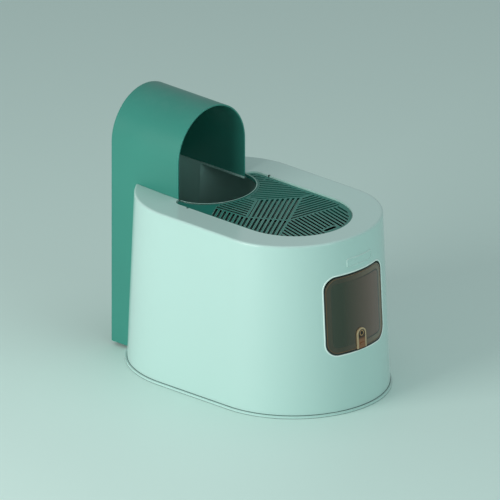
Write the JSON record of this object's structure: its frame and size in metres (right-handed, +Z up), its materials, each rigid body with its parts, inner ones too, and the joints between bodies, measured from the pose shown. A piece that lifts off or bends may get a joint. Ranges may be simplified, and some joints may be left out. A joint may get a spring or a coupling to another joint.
{
  "type": "semi-enclosed litter box",
  "caption": "Tapered oval litter box with a slotted flip-up lid, an arched entry hood standing behind it and a tinted swing door at the front, on a lift-out litter pan.",
  "frame": {"origin": "centre of the bounding box at the floor", "axes": "+X towards the end with the swing door, +Y to the left seen from behind the hood, +Z up"},
  "size_m": [0.614, 0.399, 0.543],
  "materials": {
    "base_tray": "glossy moulded plastic",
    "body_shell": "glossy moulded plastic",
    "hood": "satin moulded plastic",
    "grate_lid": "satin moulded plastic",
    "door_flap": "clear plastic tinted brown",
    "latch_frame": "glossy moulded plastic",
    "latch_slider": "glossy moulded plastic",
    "latch_backplate": "satin moulded plastic",
    "front_plate": "glossy moulded plastic",
    "hinge_rod": "drawn steel rod",
    "rod_bracket_left": "moulded plastic",
    "rod_bracket_right": "moulded plastic",
    "bracket_screws": "plated steel",
    "rod_clips": "spring steel",
    "lid_pin_left": "steel dowel",
    "lid_pin_right": "steel dowel",
    "flap_magnet": "plated magnet",
    "sill_magnet": "plated magnet",
    "foot_front_left": "soft rubber",
    "foot_front_right": "soft rubber",
    "foot_rear_left": "soft rubber",
    "foot_rear_right": "soft rubber"
  },
  "bodies": {
    "tray": {"base_tray": "base_tray", "foot_front_left": "foot_front_left", "foot_front_right": "foot_front_right", "foot_rear_left": "foot_rear_left", "foot_rear_right": "foot_rear_right"},
    "shell": {"body_shell": "body_shell", "front_plate": "front_plate", "hinge_rod": "hinge_rod", "rod_bracket_left": "rod_bracket_left", "rod_bracket_right": "rod_bracket_right", "bracket_screws": "bracket_screws", "rod_clips": "rod_clips", "sill_magnet": "sill_magnet"},
    "hood": {"hood": "hood"},
    "lid": {"grate_lid": "grate_lid", "lid_pin_left": "lid_pin_left", "lid_pin_right": "lid_pin_right"},
    "flap": {"door_flap": "door_flap", "latch_frame": "latch_frame", "latch_backplate": "latch_backplate", "flap_magnet": "flap_magnet"},
    "latch": {"latch_slider": "latch_slider"}
  },
  "joints": [
    {"name": "shell_lift", "type": "slide", "parent": "tray", "child": "shell", "axis": [0, 0, 1], "range_m": [0, 0.11]},
    {"name": "hood_lift", "type": "slide", "parent": "shell", "child": "hood", "axis": [0, 0, 1], "range_m": [0, 0.375]},
    {"name": "lid_hinge", "type": "hinge", "parent": "shell", "child": "lid", "pos_m": [-0.074, 0, 0.361], "axis": [0, -1, 0], "range_deg": [0, 103]},
    {"name": "flap_hinge", "type": "hinge", "parent": "shell", "child": "flap", "pos_m": [0.27252, 0, 0.288], "axis": [0, 1, 0], "range_deg": [0, 80]},
    {"name": "latch_slide", "type": "slide", "parent": "flap", "child": "latch", "axis": [0.0547, 0, -0.9985], "range_m": [0, 0.008]}
  ]
}
